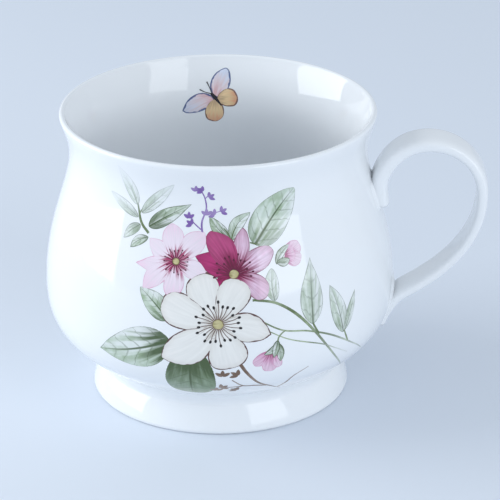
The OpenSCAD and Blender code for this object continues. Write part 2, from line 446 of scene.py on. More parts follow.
def strap(name, line, thickness, width, sides=40):
    """A rounded oblong section |x/a|^k + |y/b|^k = 1 carried along a line in the plane through
    the cup's axis; a is half the width, across that plane, and b half the thickness. Thickness
    above STRAP_THICKNESS is all added on the outer face."""
    a = np.linspace(0, 2 * np.pi, sides, endpoint=False)
    extra = np.maximum(thickness - STRAP_THICKNESS, 0)
    across = width[:, None] / 2 * squared(np.cos(a), SQUARENESS)
    off = thickness[:, None] / 2 * squared(np.sin(a), SQUARENESS) + extra[:, None] / 2
    normal = left_of(line)
    x = line[:, :1] + normal[:, :1] * off
    z = line[:, 1:] + normal[:, 1:] * off
    points = np.stack([x, across, z], -1).reshape(-1, 3)
    faces = grid_faces(len(line), sides, closed_columns=True)
    ring = np.arange(sides)
    faces += fan(len(points), ring[::-1]) + fan(len(points) + 1, (len(line) - 1) * sides + ring)
    ends = np.array([points[:sides].mean(axis=0), points[-sides:].mean(axis=0)])
    return new_mesh(name, np.vstack([points, ends]) * MM, faces)


# The strap is thickest near its upper end, and thins towards the lower one.
along = run_along(strap_line) / run_along(strap_line)[-1]
thickness = np.interp(along, [0, 0.004, 0.06, 0.13, 0.22, 0.35, 0.6, 0.9, 1.0],
                      [4.6, 5.4, 5.0, 4.8, 4.3, STRAP_THICKNESS, 3.3, 3.2, 3.4])
width = np.interp(along, [0, 0.004, 0.9, 1.0],
                  [STRAP_WIDTH - 0.8, STRAP_WIDTH, STRAP_WIDTH, STRAP_WIDTH + 0.4])
handle = strap("handle_strap", strap_line, thickness, width)
handle.data.materials.append(glazed_clay("handle_glaze"))
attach(handle, "root")
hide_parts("handle")

# --- Handle joints ------------------------------------------------------------------------------
# Where the handle is luted on: a thin smear of slip round each end, sponged into the wall and
# glazed over.
WALL_FACE = (wall, run_along(wall), -left_of(wall), 1)    # outline, distance up it, normals, hand
PAD_SIDES = 96
PAD_SUNK = 0.15                         # how far a pad's outer edge lies under the wall's surface


def on_face(face, azimuth, up, lift):
    """Points and normals on a turned wall: the wall's outline at this distance up, moved off it by
    lift, at this azimuth."""
    line, run, out, _ = face
    r, z = np.interp(up, run, line[:, 0]), np.interp(up, run, line[:, 1])
    out_r, out_z = np.interp(up, run, out[:, 0]), np.interp(up, run, out[:, 1])
    a = np.radians(azimuth)
    r = r + lift * out_r
    points = np.stack([r * np.cos(a), r * np.sin(a), z + lift * out_z], -1)
    return points, np.stack([out_r * np.cos(a), out_r * np.sin(a), out_z], -1)


def turned_over(faces):
    """The same quads, seen from the other side."""
    return [[a, d, c, b] for a, b, c, d in faces]


def clay_pad(name, low, high, width, face_radius, depth, squareness, crisp):
    """A pad on the wall between two heights. Its outline is an oblong |x/a|^k + |y/b|^k = 1; it
    rises to a face at face_radius, or to depth where that is less, and falls to the wall over the
    outline in half a cosine wave, the steeper the more crisp it is."""
    line, run = WALL_FACE[:2]
    bottom, top = np.interp([low, high], line[:, 1], run)
    slope = 1 / crisp
    share = np.r_[np.linspace(0, 1 - slope, 5)[1:], np.linspace(1 - slope, 1 + slope, 17)[1:]]
    angle = np.linspace(0, 2 * np.pi, PAD_SIDES, endpoint=False)
    x = np.append(share[:, None] * squared(np.cos(angle), squareness), 0) * width / 2
    up = np.append(share[:, None] * squared(np.sin(angle), squareness), 0) * (top - bottom) / 2
    up += (bottom + top) / 2
    fall = (1 + np.cos(np.pi * np.clip((share - 1) * crisp / 2 + 0.5, 0, 1))) / 2
    radius = np.interp(up, run, line[:, 0])
    full = np.minimum(depth, face_radius - radius)
    lift = full * np.append(fall[:, None] + 0 * angle, 1) - PAD_SUNK
    points, _ = on_face(WALL_FACE, np.degrees(x / radius), up, lift)
    faces = turned_over(grid_faces(len(share), PAD_SIDES, closed_columns=True))
    faces += fan(len(points) - 1, np.arange(PAD_SIDES))
    pad = new_mesh(name, points * MM, faces)
    pad.data.materials.append(joint_glaze)
    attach(pad, "root")
    return pad


joint_glaze = glazed_clay("joint_glaze")
upper_pad = clay_pad("upper_pad", 56.1, 64.6, 13.6, 49.2, 0.9, 4.0, 4.0)
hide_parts("upper_handle_joint")
lower_pad = clay_pad("lower_pad", 20.6, 34.2, 14.2, 70.0, 0.8, 3.0, 2.2)
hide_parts("lower_handle_joint")

# --- Enamel -------------------------------------------------------------------------------------
# The decoration is overglaze enamel, printed as a transfer, slid onto the glazed cup and fired. Each
# petal, leaf or brush stroke is a thin film whose edge dies away under the glaze. A place on a wall
# is given as (azimuth in degrees, distance up the wall in millimetres).
FILM = 0.05                             # how far the lowest film stands off the glaze
STEP = 0.025                            # each further layer
EDGE_DEPTH = 0.02                       # how far its edge is sunk
GLAZE_WHITE = (0.875, 0.895, 0.915)     # of the glaze that a fading wash lets through
MARKS = ("edge_mm", "shade", "fade", "seed")


def film(face, base, x, y, lift, faces, u, v, edge, shade, fade, seed):
    """One film from flat places (x right, y up, in millimetres from its base) on a wall."""
    line, run, _, hand = face
    up = base[1] + y
    azimuth = base[0] + hand * np.degrees(x / np.interp(up, run, line[:, 0]))
    points, normals = on_face(face, azimuth, up, lift)
    same = np.ones(len(points))
    return {"points": points, "normals": normals, "faces": faces, "uv": np.stack([u, v], -1),
            "edge_mm": edge, "shade": same * shade, "fade": same * fade, "seed": same * seed}


def flat(face, base, tip):
    """The way from one place on a wall to another, in millimetres right and up."""
    radius = np.interp(tip[1], face[1], face[0][:, 0])
    return np.array([face[3] * np.radians(tip[0] - base[0]) * radius, tip[1] - base[1]])


ACROSS = np.array([-0.5, -0.4, 0.0, 0.4, 0.5])            # a stroke's points, as shares of its width
STROKE_STEPS = 8                        # from each place to the next


def stroke(places, widths, shade=0.0, fade=0.0, layer=0.0, seed=0.0, face=WALL_FACE):
    """A brush stroke through places on a wall, smoothed by Hermite curves whose slope at a place
    is half the way between its neighbours. Its width runs evenly through the widths given."""
    knots = np.array([flat(face, places[0], p) for p in places])
    slope = np.gradient(knots, axis=0)
    t = np.linspace(0, 1, STROKE_STEPS, endpoint=False)[:, None]
    a, b, m, n = knots[:-1, None], knots[1:, None], slope[:-1, None], slope[1:, None]
    line = (a * (1 + 2 * t) * (1 - t) ** 2 + m * t * (1 - t) ** 2
            + b * t ** 2 * (3 - 2 * t) - n * t ** 2 * (1 - t)).reshape(-1, 2)
    line = np.vstack([line, knots[-1]])
    along = run_along(line) / run_along(line)[-1]
    broad = np.interp(along, np.linspace(0, 1, len(widths)), widths)
    side = left_of(line)
    x = (line[:, :1] + side[:, :1] * broad[:, None] * ACROSS).ravel()
    y = (line[:, 1:] + side[:, 1:] * broad[:, None] * ACROSS).ravel()
    lift = np.where(np.abs(ACROSS) < 0.5, FILM + STEP * layer, -EDGE_DEPTH) + 0 * line[:, :1]
    edge = (0.5 - np.abs(ACROSS)) * broad[:, None]
    return film(face, places[0], x, y, lift.ravel(), turned_over(grid_faces(len(line), len(ACROSS))),
                np.repeat(along, len(ACROSS)), np.tile(ACROSS + 0.5, len(line)), edge.ravel(),
                shade, fade, seed)


def enamel(name, films, material):
    """Films joined as one piece. Their normals are the wall's, so that the glaze's shine runs
    across them without a break."""
    counts = np.cumsum([0] + [len(f["points"]) for f in films])
    faces = [[int(v) + int(first) for v in face]
             for f, first in zip(films, counts) for face in f["faces"]]
    piece = new_mesh(name, np.vstack([f["points"] for f in films]) * MM, faces)
    mesh = piece.data
    corner = np.empty(len(mesh.loops), int)
    mesh.loops.foreach_get("vertex_index", corner)
    layer = mesh.uv_layers.new(name="brush")
    layer.data.foreach_set("uv", np.vstack([f["uv"] for f in films])[corner].ravel())
    for mark in MARKS:
        values = np.concatenate([f[mark] for f in films])
        mesh.attributes.new(mark, "FLOAT", "POINT").data.foreach_set("value", values)
    mesh.normals_split_custom_set_from_vertices(np.vstack([f["normals"] for f in films]).tolist())
    mesh.materials.append(material)
    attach(piece, "root")
    return piece


def brush_marks_group():
    """How the brush ran over one film: the share along and across it, streaks along the stroke that
    fan out from its base, a mottled wash, and the film's own marks."""
    group, w, given, out = new_group("brush_marks", ["Streaks"],
                                     ["Along", "Across", "Streak", "Wash", "Edge", "Shade", "Fade"])
    edge, shade, fade, seed = [w.node("Attribute", {}, attribute_name=mark)["Fac"] for mark in MARKS]
    uv = w.node("SeparateXYZ", {"Vector": w.node("UVMap", {}, uv_map="brush")["UV"]})
    along, across = uv["X"], uv["Y"]
    spread = w.math("MULTIPLY_ADD", along, 0.8, 0.35)
    fanned = w.math("DIVIDE", w.math("SUBTRACT", across, 0.5), spread)
    stretched = w.node("CombineXYZ", {"X": w.math("MULTIPLY", along, 1.4),
                                      "Y": w.math("MULTIPLY", fanned, given["Streaks"]),
                                      "Z": w.math("MULTIPLY", seed, 17.0)})["Vector"]
    found = {"Along": along, "Across": w.math("MULTIPLY_ADD", across, 2.0, -1.0),
             "Streak": w.step(w.noise(stretched, scale=1.0, detail=3.0), 0.34, 0.66),
             "Wash": w.step(w.noise(w.place(), scale=260.0, detail=3.0), 0.36, 0.64),
             "Edge": edge, "Shade": shade, "Fade": fade}
    for label, value in found.items():
        w.feed(out[label], value)
    return group


brush_marks = brush_marks_group()
ENAMEL_ROUGHNESS = 0.08

# --- Stems --------------------------------------------------------------------------------------
# Three long green stems that sweep to the right and die out, the flowers' short stalks, and two
# sprigs, in thin green strokes.
def line_enamel(name, dark, light):
    """Drawn strokes and dots, from dark to light as the wash thins, fading at the end of a film."""
    material, w = new_material(name)
    m = w.group(brush_marks, Streaks=3.0)
    thin = w.math("MULTIPLY", m["Wash"], w.math("SUBTRACT", 1.0, m["Shade"]))
    faded = w.math("MULTIPLY", m["Fade"], w.step(m["Along"], 0.35, 1.0))
    glassy(w, w.mix(faded, w.mix(thin, dark, light), GLAZE_WHITE), ENAMEL_ROUGHNESS)
    return material


# Each stroke: its places, widths, shade, fade, layer and seed.
stems = [
    stroke([(-76.5, 43.4), (-75, 43.3), (-69, 42), (-62.7, 38.3), (-56.7, 32.6), (-50, 25),
            (-43.3, 18.2), (-38, 13.5)], [0.7, 0.9, 0.7, 0.5], 0.4, 0.35, 0, 1),
    stroke([(-76.7, 38.9), (-67.3, 33.9), (-58, 32), (-48, 28.2), (-36.7, 21.9), (-30, 17.8)],
           [0.4, 0.5, 0.6, 0.4], 0.1, 0.5, 0, 2),
    stroke([(-71.3, 33.9), (-64.7, 30.7), (-53.3, 27), (-46.7, 23.8), (-40, 20.2)],
           [0.3, 0.4, 0.3], 0.0, 0.8, 0, 3),
    stroke([(-66, 33.6), (-67.3, 32.9), (-68.5, 31.5), (-68.7, 28.8)], [0.4, 0.5, 0.6], 0.6, 0, 0.2, 4),
    stroke([(-41.5, 24.8), (-43.3, 28.2), (-44.6, 31.5)], [0.6, 0.5, 0.3], 0.5, 0, 0.1, 5),
    stroke([(-54, 30.3), (-56, 33.5), (-57.2, 37)], [0.6, 0.6, 0.4], 0.8, 0, 0.1, 6),
    stroke([(-113, 60.8), (-116.3, 63.4), (-118, 67.4), (-119.3, 71.5)], [0.8, 0.8, 0.5, 0.25],
           0.9, 0.3, 0, 7),
    stroke([(-116.2, 63), (-117.2, 65.9), (-114.5, 68.8)], [0.5, 0.4, 0.2], 0.5, 0.4, 0, 8),
    stroke([(-83.2, 60.2), (-83.6, 61.8), (-85.5, 63.8)], [0.7, 0.5, 0.2], 1.0, 0, 1.2, 9),
    stroke([(-82.9, 60.2), (-82, 62.5), (-80.6, 64.6)], [0.6, 0.4, 0.2], 1.0, 0, 1.2, 10),
    stroke([(-76.3, 59.4), (-74.2, 58.9), (-73, 58.7)], [0.3, 0.5, 0.3], 1.0, 0, 3.5, 11),
]
stem_piece = enamel("stems", stems, line_enamel("stem_green", (0.13, 0.18, 0.08), (0.42, 0.50, 0.33)))
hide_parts("flower_transfer")

# --- Leaves -------------------------------------------------------------------------------------
# Leaves in sage green, painted wet: the large ones at the sides of the white flower are dark at the
# base, the one below it is dark nearly to its tip, and the small ones on the stems are pale.
INNER_SHARE = 0.93                      # where the last ring inside the edge lies


def patch(base, tip, width, taper=(1.0, 0.5), lean=0.0, ruffle=0.0, shade=0.0, fade=0.0,
          layer=0.0, seed=0.0, sides=64, rings=7, face=WALL_FACE):
    """A petal or leaf from its base to its tip. Half its width at a share t of its length goes as
    t^a (1-t)^b, its middle line bows sideways by lean times sin(pi t), and ruffle waves its edge.
    Its mesh is rings round a middle point."""
    a, b = taper
    reach = flat(face, base, tip)
    length = np.hypot(*reach)
    ahead = reach / length
    angle = np.linspace(0, 2 * np.pi, sides, endpoint=False)
    t = (1 - np.cos(angle)) / 2
    widest = a / (a + b)
    half = t ** a * (1 - t) ** b / (widest ** a * (1 - widest) ** b)
    middle = np.array([length * (0.35 + 0.3 * widest), 0.0])
    outline = np.stack([length * t, np.where(angle < np.pi, -1, 1) * half * width / 2], -1) - middle
    wave = np.sin(3 * angle + 5 * seed) + 0.7 * np.sin(7 * angle + 11 * seed)
    outline = outline * (1 + ruffle * t * wave)[:, None]
    tangent = np.roll(outline, -1, axis=0) - np.roll(outline, 1, axis=0)
    depth = np.abs(outline[:, 0] * tangent[:, 1] - outline[:, 1] * tangent[:, 0])
    depth /= np.linalg.norm(tangent, axis=1)
    share = np.append(np.linspace(0, INNER_SHARE, rings)[1:], 1.0)[:, None]
    local = (share[..., None] * outline + middle).reshape(-1, 2)
    local = np.vstack([local, middle])
    along = local[:, 0]
    bowed = local[:, 1] + lean * length * np.sin(np.pi * np.clip(along / length, 0, 1))
    lift = np.append(np.where(share < 1, FILM + STEP * layer, -EDGE_DEPTH) + 0 * angle,
                     FILM + STEP * layer)
    faces = turned_over(grid_faces(rings, sides, closed_columns=True))
    faces += fan(len(local) - 1, np.arange(sides))
    edge = np.append((1 - share) * depth, depth.min())
    return film(face, base, along * ahead[0] - bowed * ahead[1], along * ahead[1] + bowed * ahead[0],
                lift, faces, along / length, 0.5 + local[:, 1] / width, edge, shade, fade, seed)


def ink_line_group():
    """A fine drawn line along a film's edge, that swells and thins: 1 on the line, 0 off it."""
    group, w, given, out = new_group("ink_line", ["Edge", "Width"], ["Line"])
    swell = w.step(w.noise(w.place(), scale=420.0), 0.3, 0.7, 0.45, 1.25)
    width = w.math("MULTIPLY", given["Width"], swell)
    w.feed(out["Line"], w.step(given["Edge"], width, w.math("MULTIPLY", width, 1.5), 1.0, 0.0))
    return group


def leaf_veins_group():
    """A leaf's midrib, and side veins that slant towards its tip: each 1 on the vein, 0 off it. Both
    thin out, the rib towards the tip and the side veins towards the edge."""
    group, w, given, out = new_group("leaf_veins", ["Along", "Across", "Pairs", "Streak"],
                                     ["Rib", "Veins"])
    off = w.math("ABSOLUTE", given["Across"])
    rib = w.math("MULTIPLY_ADD", given["Along"], -0.075, 0.10)
    w.feed(out["Rib"], w.step(off, w.math("MULTIPLY", rib, 0.4), rib, 1.0, 0.0))
    slant = w.math("MULTIPLY_ADD", off, -0.20, given["Along"])
    wobble = w.math("MULTIPLY", given["Streak"], 0.16)
    place = w.math("MULTIPLY_ADD", slant, given["Pairs"], wobble)
    from_vein = w.math("ABSOLUTE", w.math("SUBTRACT", w.math("FRACT", place), 0.5))
    vein = w.math("MULTIPLY_ADD", off, -0.13, 0.15)
    w.feed(out["Veins"], w.step(from_vein, 0.0, vein, 1.0, 0.0))
    return group


ink_line = ink_line_group()
leaf_veins = leaf_veins_group()
LEAF_DARK = (0.060, 0.100, 0.035)
VEIN_STRENGTH = 0.5
LEAF_LINE = 0.22                        # how wide the outline is drawn, in millimetres


def leaf_enamel(name, middle, pale, pairs, line_strength=0.5, reach=0.78):
    """Leaves in washes of green, darker at the base and along the veins, with a broken outline and
    a lighter half. A film's shade sets how dark its base is, and reach how far along it that runs."""
    material, w = new_material(name)
    m = w.group(brush_marks, Streaks=5.0)
    washed = w.math("MULTIPLY_ADD", m["Wash"], 0.55, w.math("MULTIPLY", m["Streak"], 0.45))
    colour = w.mix(washed, middle, pale)
    lit = w.step(w.math("SUBTRACT", m["Streak"], m["Across"]), 0.1, 1.5, 0.0, 0.75)
    lit = w.math("MULTIPLY", lit, w.step(m["Shade"], 1.2, 1.4, 1.0, 0.1))
    colour = w.mix(lit, colour, GLAZE_WHITE)
    run = w.math("MULTIPLY_ADD", m["Streak"], 0.25, m["Along"])
    deep = w.math("MULTIPLY", m["Shade"], w.step(run, 0.12, reach, 1.0, 0.06))
    colour = w.mix(w.math("MINIMUM", deep, 0.95), colour, LEAF_DARK)
    v = w.group(leaf_veins, Along=m["Along"], Across=m["Across"], Pairs=pairs, Streak=m["Streak"])
    drawn = w.math("MAXIMUM", v["Rib"], w.math("MULTIPLY", v["Veins"], VEIN_STRENGTH))
    drawn = w.math("MULTIPLY", drawn, w.step(m["Along"], 0.5, 1.05, 0.9, 0.3))
    edge = w.group(ink_line, Edge=m["Edge"], Width=LEAF_LINE)["Line"]
    drawn = w.math("MAXIMUM", drawn, w.math("MULTIPLY", edge, line_strength))
    colour = w.mix(drawn, colour, LEAF_DARK)
    faded = w.math("MULTIPLY", m["Fade"], w.step(m["Along"], 0.1, 1.0, 0.35, 1.0))
    glassy(w, w.mix(faded, colour, GLAZE_WHITE), ENAMEL_ROUGHNESS)
    return material


# Each patch: base, tip, width, taper, lean, ruffle, shade, fade, layer and seed.
big_leaves = [
    patch((-103.0, 31.5), (-129.5, 24.1), 12.6, (0.62, 0.95), 0.03, 0.010, 1.15, 0.0, 1, 1),
    patch((-103.5, 37.5), (-114.0, 45.8), 6.6, (0.6, 0.9), -0.03, 0.010, 0.75, 0.0, 1, 3),
    patch((-74.6, 58.6), (-58.3, 73.4), 10.8, (0.5, 0.75), 0.02, 0.012, 0.38, 0.0, 1, 4),
]
enamel("large_leaves", big_leaves,
       leaf_enamel("large_leaf_green", (0.36, 0.47, 0.31), (0.70, 0.78, 0.71), pairs=6.0, reach=0.6))
lower_leaf = patch((-96.2, 30.5), (-97.6, 8.6), 14.4, (0.60, 0.46), -0.01, 0.014, 1.4, 0.0, 1.1, 2)
enamel("lower_leaf", [lower_leaf],
       leaf_enamel("lower_leaf_green", (0.16, 0.24, 0.12), (0.28, 0.37, 0.25), pairs=6.0, reach=0.84))
small_leaves = [
    patch((-83.2, 60.4), (-90.6, 67.0), 3.7, (0.7, 0.9), 0.05, 0.01, 0.75, 0.0, 1, 5),
    patch((-82.8, 60.4), (-75.6, 67.8), 3.9, (0.6, 0.8), 0.12, 0.01, 0.35, 0.1, 1, 6),
    patch((-69.2, 42.5), (-69.4, 51.8), 4.2, (0.6, 0.7), 0.05, 0.01, 0.3, 0.45, 1, 7),
    patch((-56.3, 33.6), (-54.8, 53.0), 7.4, (0.75, 1.35), 0.02, 0.014, 0.15, 0.35, 1, 8),
    patch((-43.9, 28.0), (-48.8, 43.6), 5.6, (0.75, 1.0), -0.02, 0.012, 0.25, 0.35, 1, 9),
    patch((-43.4, 28.4), (-37.7, 39.4), 3.0, (0.8, 1.1), 0.0, 0.01, 0.3, 0.3, 1, 10),
    patch((-113.2, 62.6), (-97.0, 70.3), 4.6, (0.6, 1.1), 0.02, 0.012, 0.8, 0.0, 1, 11),
    patch((-116.6, 62.8), (-122.9, 58.0), 3.1, (0.6, 0.9), -0.05, 0.01, 0.45, 0.4, 1, 12),
    patch((-112.9, 59.8), (-119.6, 55.9), 2.8, (0.7, 0.9), -0.08, 0.01, 0.5, 0.1, 1, 13),
    patch((-117.6, 64.6), (-131.2, 69.9), 3.2, (0.7, 0.9), 0.0, 0.01, 0.35, 0.8, 1, 14),
    patch((-116.6, 66.0), (-103.0, 76.2), 3.6, (0.6, 0.9), 0.0, 0.01, 0.25, 0.7, 1, 15),
    patch((-118.3, 68.0), (-125.2, 79.6), 3.8, (0.6, 0.9), 0.0, 0.01, 0.1, 0.95, 0.5, 16),
]
enamel("small_leaves", small_leaves,
       leaf_enamel("small_leaf_green", (0.32, 0.42, 0.27), (0.72, 0.80, 0.71), pairs=4.0,
                   line_strength=0.7))

# --- Pink flower --------------------------------------------------------------------------------
# Seven narrow petals of thin pink wash round a deep pink heart, behind the magenta flower.
STREAK_TONE = (0.45, 0.42, 0.42)        # what a streak of full contrast multiplies the colour by


def petal_enamel(name, heart, body, tip, ink, heart_end=0.3, tip_start=0.3, tip_end=0.95,
                 line=0.2, line_strength=1.0, heart_start=0.04, streaks=9.0, contrast=0.3, rim=0.0):
    """Petals shaded from a dark heart to a light tip in fine streaks, with a drawn outline. A film
    with shade 1 stays the body colour to its tip. The rim is how dark the wash has pooled by the
    outline."""
    material, w = new_material(name)
    m = w.group(brush_marks, Streaks=streaks)
    run = w.math("MULTIPLY_ADD", w.math("SUBTRACT", m["Streak"], 0.5), 0.24, m["Along"])
    colour = w.mix(w.step(run, heart_start, heart_end), heart, body)
    unshaded = w.math("SUBTRACT", 1.0, m["Shade"])
    colour = w.mix(w.math("MULTIPLY", w.step(run, tip_start, tip_end), unshaded), colour, tip)
    colour = w.mix(w.math("MULTIPLY", m["Wash"], 0.16), colour, body)
    brushed = w.math("MULTIPLY", w.math("SUBTRACT", 1.0, m["Streak"]), contrast)
    colour = w.mix(brushed, colour, STREAK_TONE, "MULTIPLY")
    colour = w.mix(w.step(m["Edge"], 0.2, 2.2, rim, 0.0), colour, heart)
    edge = w.group(ink_line, Edge=m["Edge"], Width=line)["Line"]
    colour = w.mix(w.math("MULTIPLY", edge, line_strength), colour, ink)
    faded = w.math("MULTIPLY", m["Fade"], w.step(m["Along"], 0.15, 1.0))
    glassy(w, w.mix(faded, colour, GLAZE_WHITE), ENAMEL_ROUGHNESS)
    return material


PINK_CENTRE = (-101.9, 54.1)
pink_petals = [
    patch(PINK_CENTRE, tip, width, (0.9, blunt), lean, 0.02, 0.0, fade, 2 + 0.12 * k, 20 + k)
    for k, (tip, width, blunt, lean, fade) in enumerate([
        ((-112.4, 59.4), 5.4, 0.9, 0.04, 0.35), ((-104.2, 64.3), 6.4, 0.6, 0.02, 0.15),
        ((-92.0, 62.3), 6.4, 0.65, 0.03, 0.20), ((-116.8, 52.2), 5.0, 1.3, 0.05, 0.0),
        ((-112.8, 45.4), 5.6, 0.85, -0.06, 0.0), ((-103.2, 43.7), 5.8, 0.65, 0.03, 0.0),
        ((-91.8, 50.9), 5.4, 0.6, 0.0, 0.35)])
]
enamel("pink_flower", pink_petals,
       petal_enamel("pink_wash", (0.42, 0.03, 0.13), (0.89, 0.77, 0.86), (0.89, 0.67, 0.80),
                    (0.74, 0.30, 0.50), heart_end=0.42, tip_start=0.55, tip_end=1.0, line=0.16,
                    line_strength=0.7, heart_start=0.16, contrast=0.14))

# --- Magenta flower -----------------------------------------------------------------------------
# Seven petals: four are magenta all through, and three open to pale pink tips.
MAGENTA_CENTRE = (-82.3, 51.0)
magenta_petals = [
    patch(MAGENTA_CENTRE, tip, width, (0.75, blunt), lean, 0.02, shade, 0.0, 3 + 0.12 * k, 30 + k)
    for k, (tip, width, blunt, lean, shade) in enumerate([
        ((-76.5, 47.0), 6.0, 0.45, 0.0, 0.95), ((-87.9, 42.6), 8.6, 0.45, 0.0, 1.0),
        ((-68.2, 56.9), 6.6, 0.55, 0.0, 0.0), ((-71.4, 44.2), 6.2, 0.42, 0.06, 0.1),
        ((-78.6, 63.8), 4.8, 0.70, -0.05, 0.15), ((-95.4, 55.9), 7.2, 1.0, -0.07, 0.97),
        ((-90.4, 62.8), 7.6, 0.60, -0.05, 0.90)])
]
enamel("magenta_flower", magenta_petals,
       petal_enamel("magenta_wash", (0.18, 0.006, 0.045), (0.49, 0.016, 0.165), (0.91, 0.71, 0.87),
                    (0.22, 0.02, 0.07), heart_end=0.6, tip_start=0.12, tip_end=0.62,
                    line_strength=0.7, heart_start=0.08, contrast=0.34, rim=0.22))

# --- White flower -------------------------------------------------------------------------------
# Six broad cream petals in a thin brown outline, in front of the others.
WHITE_CENTRE = (-87.7, 37.1)
white_petals = [
    patch(WHITE_CENTRE, tip, width, (base, blunt), lean, 0.012, 0.0, 0.0, 4 + 0.15 * k, 40 + k)
    for k, (tip, width, base, blunt, lean) in enumerate([
        ((-94.2, 51.2), 9.8, 0.95, 0.44, 0.03), ((-79.6, 49.3), 9.8, 0.95, 0.42, 0.02),
        ((-70.8, 32.9), 8.6, 0.85, 0.85, 0.06), ((-83.6, 23.2), 11.2, 0.95, 0.42, 0.02),
        ((-106.0, 25.8), 10.6, 0.95, 0.75, 0.06), ((-106.1, 42.6), 10.4, 0.95, 0.42, 0.02)])
]
enamel("white_flower", white_petals,
       petal_enamel("cream_wash", (0.56, 0.52, 0.46), (0.87, 0.865, 0.835), (0.88, 0.86, 0.83),
                    (0.11, 0.045, 0.04), heart_end=0.26, tip_start=0.6, tip_end=1.0, line=0.34,
                    contrast=0.10, rim=0.26))

# --- Stamens ------------------------------------------------------------------------------------
# A ring of drawn filaments with dark heads in each flower, and a round yellow-green boss.
FILAMENT_WIDTHS = [0.34, 0.22, 0.26]
BEND = 0.05                             # how far a filament's two ends turn from its middle
UNEVEN = 2.4                            # from one to the next, round the wave of their lengths


def stamens(centre, count, inner, outer, spread, head, layer, first=0.0, sweep=360.0):
    """Filaments round a flower's middle, with a head at the end of each. Filament k reaches
    outer + spread sin(2.4 k) from the middle."""
    radius = np.interp(centre[1], WALL_FACE[1], wall[:, 0])

    def spot(distance, angle):
        return (centre[0] + np.degrees(distance * np.cos(angle) / radius),
                centre[1] + distance * np.sin(angle))

    strokes, heads = [], []
    for k in range(count):
        turn = np.radians(first + sweep * k / count)
        bent = turn + BEND
        far = outer + spread * np.sin(UNEVEN * k)
        strokes.append(stroke([spot(inner, bent), spot((inner + far) / 2, turn), spot(far, bent)],
                              FILAMENT_WIDTHS, 0.7, 0, layer, k))
        heads.append(patch(spot(far - 0.5 * head, bent), spot(far + 0.9 * head, bent), head,
                           (0.5, 0.5), 0, 0, 1, 0, layer + 0.5, k, sides=12, rings=2))
    return strokes, heads


white_lines, white_heads = stamens(WHITE_CENTRE, 25, 1.3, 5.4, 0.8, 0.78, 5.5)
pink_lines, pink_heads = stamens(PINK_CENTRE, 18, 0.9, 3.1, 0.5, 0.40, 4)
magenta_lines, magenta_heads = stamens(MAGENTA_CENTRE, 15, 1.2, 4.6, 0.9, 0.55, 4.2,
                                       first=-12, sweep=212)
enamel("stamens_brown", white_lines,
       line_enamel("stamen_brown", (0.12, 0.06, 0.05), (0.34, 0.24, 0.2)))
enamel("anthers", white_heads,
       line_enamel("anther_black", (0.018, 0.014, 0.014), (0.05, 0.04, 0.035)))
enamel("stamens_maroon", pink_lines + pink_heads + magenta_lines + magenta_heads,
       line_enamel("stamen_maroon", (0.10, 0.008, 0.035), (0.24, 0.03, 0.09)))

BOSS_WALL = 47.0                        # about the wall's radius behind the three flowers
bosses = []
for k, (centre, radius, layer) in enumerate([(WHITE_CENTRE, 1.55, 6.5), (PINK_CENTRE, 1.1, 5),
                                             (MAGENTA_CENTRE, 1.4, 5.2)]):
    half = np.degrees(radius / BOSS_WALL)
    bosses.append(patch((centre[0] - half, centre[1]), (centre[0] + half, centre[1]), 2 * radius,
                        (0.5, 0.5), 0, 0.02, 0, 0, layer, k, sides=32, rings=5))
enamel("bosses", bosses,
       petal_enamel("boss_yellow", (0.36, 0.31, 0.13), (0.62, 0.56, 0.30), (0.50, 0.44, 0.20),
                    (0.14, 0.09, 0.04), heart_end=0.4, tip_start=0.5, tip_end=1.0, line=0.26,
                    line_strength=0.85, streaks=3.0))

# --- Buds ---------------------------------------------------------------------------------------
# Two pink buds, one above at the right and one that hangs below, each held in green sepals.
bud_petals = [
    patch((-64.2, 54.8), (-58.0, 56.9), 4.8, (0.5, 0.4), 0, 0.02, 0.0, 0.1, 2.0, 51, 40, 5),
    patch((-64.2, 54.8), (-58.4, 52.4), 4.4, (0.5, 0.4), 0, 0.02, 0.0, 0.2, 2.2, 52, 40, 5),
    patch((-64.0, 54.6), (-60.2, 54.9), 4.6, (0.5, 0.5), 0, 0.02, 0.2, 0.0, 2.4, 53, 40, 5),
    patch((-70.8, 27.6), (-76.4, 24.0), 3.8, (0.5, 0.4), 0, 0.02, 0.25, 0.0, 2.0, 54, 40, 5),
    patch((-70.4, 27.6), (-71.4, 21.2), 5.0, (0.5, 0.4), 0, 0.02, 0.15, 0.0, 2.2, 55, 40, 5),
    patch((-70.0, 27.4), (-67.9, 22.3), 3.0, (0.5, 0.4), 0, 0.02, 0.1, 0.1, 2.4, 56, 40, 5),
]
enamel("bud_petals", bud_petals,
       petal_enamel("bud_pink", (0.36, 0.07, 0.16), (0.72, 0.36, 0.55), (0.86, 0.66, 0.78),
                    (0.62, 0.20, 0.38), heart_end=0.45, tip_start=0.25, tip_end=0.8,
                    line_strength=0.6))
sepals = [
    patch((-67.6, 52.6), (-61.9, 57.6), 2.3, (0.6, 0.8), 0.1, 0.02, 0.2, 0.1, 3, 61, 32, 4),
    patch((-67.4, 53.2), (-62.3, 53.4), 2.6, (0.6, 0.7), -0.1, 0.02, 0.35, 0.1, 3.2, 62, 32, 4),
    patch((-68.7, 29.9), (-73.4, 27.0), 2.0, (0.6, 0.8), 0.1, 0.02, 0.4, 0.0, 3, 63, 32, 4),
    patch((-68.7, 30.2), (-67.6, 24.2), 2.4, (0.6, 0.7), 0.05, 0.02, 0.6, 0.0, 3.2, 64, 32, 4),
    patch((-68.7, 31.0), (-70.0, 25.6), 2.2, (0.6, 0.8), 0.0, 0.02, 0.5, 0.0, 3.4, 65, 32, 4),
]
enamel("sepals", sepals,
       leaf_enamel("sepal_green", (0.27, 0.36, 0.24), (0.56, 0.63, 0.54), pairs=3.0,
                   line_strength=0.9))

